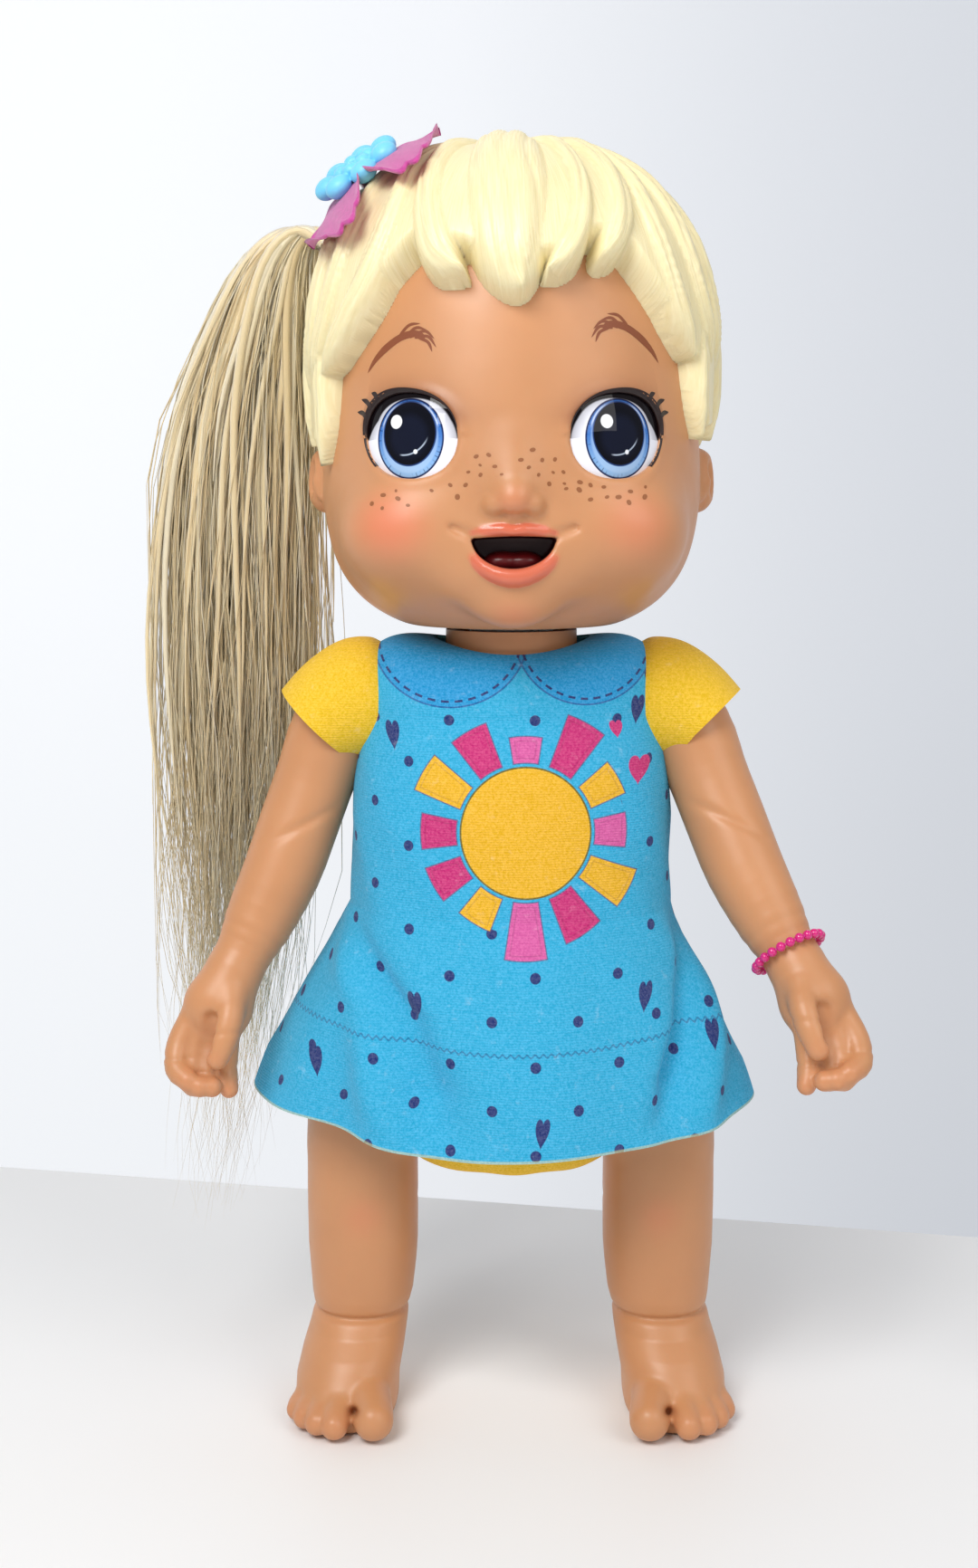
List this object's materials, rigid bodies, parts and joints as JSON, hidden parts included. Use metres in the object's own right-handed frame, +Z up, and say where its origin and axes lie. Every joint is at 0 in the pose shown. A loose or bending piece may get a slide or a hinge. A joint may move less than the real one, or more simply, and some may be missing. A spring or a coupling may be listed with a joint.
{
  "type": "interactive baby doll",
  "caption": "Standing talking baby doll with a turning head, swinging arms and legs, side ponytail, cotton dress, hair clip, bead bracelet and battery compartment in its back.",
  "frame": {"origin": "on the floor under the middle of the doll's box", "axes": "+Z up, the face looks along -Y, +X towards the doll's left hand"},
  "size_m": [0.2086, 0.1273, 0.3996],
  "materials": {
    "skin": "matt soft vinyl, tan",
    "torso_shell": "matt tan moulded plastic",
    "hair_vinyl": "satin cream moulded plastic",
    "hair_fibre": "fine glossy synthetic fibre",
    "cream_plastic": "satin",
    "eye_print": "printed under gloss",
    "eye_clear": "clear gloss",
    "mouth_red": "satin maroon",
    "petal_magenta": "felt",
    "flower_blue": "satin",
    "bead_magenta": "glossy",
    "elastic": "matt",
    "dress_blue": "brushed cotton, printed",
    "cloth_yellow": "brushed cotton",
    "mechanism_white": "moulded",
    "mechanism_black": "moulded",
    "steel": "zinc plated",
    "cell": "plain printed sleeve",
    "board_green": "solder resist",
    "chips": "moulded",
    "cone_paper": "pressed paper",
    "lead_insulation": "pvc"
  },
  "bodies": {
    "torso": {"torso_front": "torso_shell", "torso_back": "torso_shell", "shell_screws": "steel", "neck_bushing": "mechanism_white", "battery_tray": "mechanism_white", "battery_1": "cell", "battery_2": "cell", "battery_3": "cell", "battery_contacts_lower": "steel", "battery_contacts_upper": "steel", "circuit_board": "board_green", "board_components": "chips", "speaker_frame": "mechanism_black", "speaker_cone": "cone_paper", "speaker_magnet": "steel", "battery_leads": "lead_insulation", "speaker_lead": "lead_insulation", "power_switch_body": "mechanism_black", "dress_bodice": "dress_blue", "dress_skirt": "dress_blue", "dress_closure": "dress_blue", "sleeve_left": "cloth_yellow", "sleeve_right": "cloth_yellow", "underpants": "cloth_yellow"},
    "head": {"head_shell": "skin", "hair_cap": "hair_vinyl", "ponytail": "hair_fibre", "ponytail_plug": "cream_plastic", "eye_lens_left": "eye_clear", "eye_lens_right": "eye_clear", "eye_shell_left": "eye_print", "eye_shell_right": "eye_print", "eye_holder": "mechanism_white", "mouth_cup": "mouth_red", "mouth_switch": "mechanism_black", "mouth_switch_board": "board_green", "neck_spindle": "mechanism_white", "neck_retainer": "mechanism_white", "head_lead": "lead_insulation"},
    "tongue": {"tongue_plunger": "mouth_red"},
    "hair_clip": {"clip_petals": "petal_magenta", "clip_flower": "flower_blue", "clip_pin": "steel"},
    "left_arm": {"arm_left": "skin", "shoulder_hub_left": "mechanism_white"},
    "right_arm": {"arm_right": "skin", "shoulder_hub_right": "mechanism_white"},
    "bracelet": {"bracelet_beads": "bead_magenta", "bracelet_elastic": "elastic"},
    "left_leg": {"leg_left": "skin", "hip_hub_left": "mechanism_white"},
    "right_leg": {"leg_right": "skin", "hip_hub_right": "mechanism_white"},
    "battery_door": {"battery_door": "torso_shell", "door_screw": "steel"},
    "power_switch": {"power_switch_knob": "mechanism_black"}
  },
  "joints": [
    {"name": "neck_turn", "type": "hinge", "parent": "torso", "child": "head", "pos_m": [0, 0, 0.251], "axis": [0, 0, 1], "range_deg": [-70, 70], "deforming": ["ponytail"]},
    {"name": "tongue_press", "type": "slide", "parent": "head", "child": "tongue", "axis": [0, 1, 0], "range_m": [0, 0.0015], "stiffness_N_per_m": 400, "springref_m": -0.0005},
    {"name": "clip_pull", "type": "slide", "parent": "head", "child": "hair_clip", "axis": [-0.5517, -0.0502, 0.8325], "range_m": [0, 0.012]},
    {"name": "shoulder_left", "type": "hinge", "parent": "torso", "child": "left_arm", "pos_m": [0.0424, 0, 0.228], "axis": [-1, 0, 0], "range_deg": [-50, 130], "deforming": ["sleeve_left"]},
    {"name": "shoulder_right", "type": "hinge", "parent": "torso", "child": "right_arm", "pos_m": [-0.0424, 0, 0.228], "axis": [-1, 0, 0], "range_deg": [-40, 138], "deforming": ["sleeve_right"]},
    {"name": "bracelet_turn", "type": "hinge", "parent": "left_arm", "child": "bracelet", "pos_m": [0.084, -0.03157, 0.15468], "axis": [0.4197, -0.476, -0.7728], "continuous": true},
    {"name": "hip_left", "type": "hinge", "parent": "torso", "child": "left_leg", "pos_m": [0.03, 0, 0.104], "axis": [-1, 0, 0], "range_deg": [-20, 90], "deforming": ["dress_skirt"]},
    {"name": "hip_right", "type": "hinge", "parent": "torso", "child": "right_leg", "pos_m": [-0.03, 0, 0.104], "axis": [-1, 0, 0], "range_deg": [-20, 90], "deforming": ["dress_skirt"]},
    {"name": "battery_door_lift", "type": "slide", "parent": "torso", "child": "battery_door", "axis": [0, 1, 0], "range_m": [0, 0.015]},
    {"name": "power_switch_slide", "type": "slide", "parent": "torso", "child": "power_switch", "axis": [1, 0, 0], "range_m": [0, 0.004]}
  ]
}
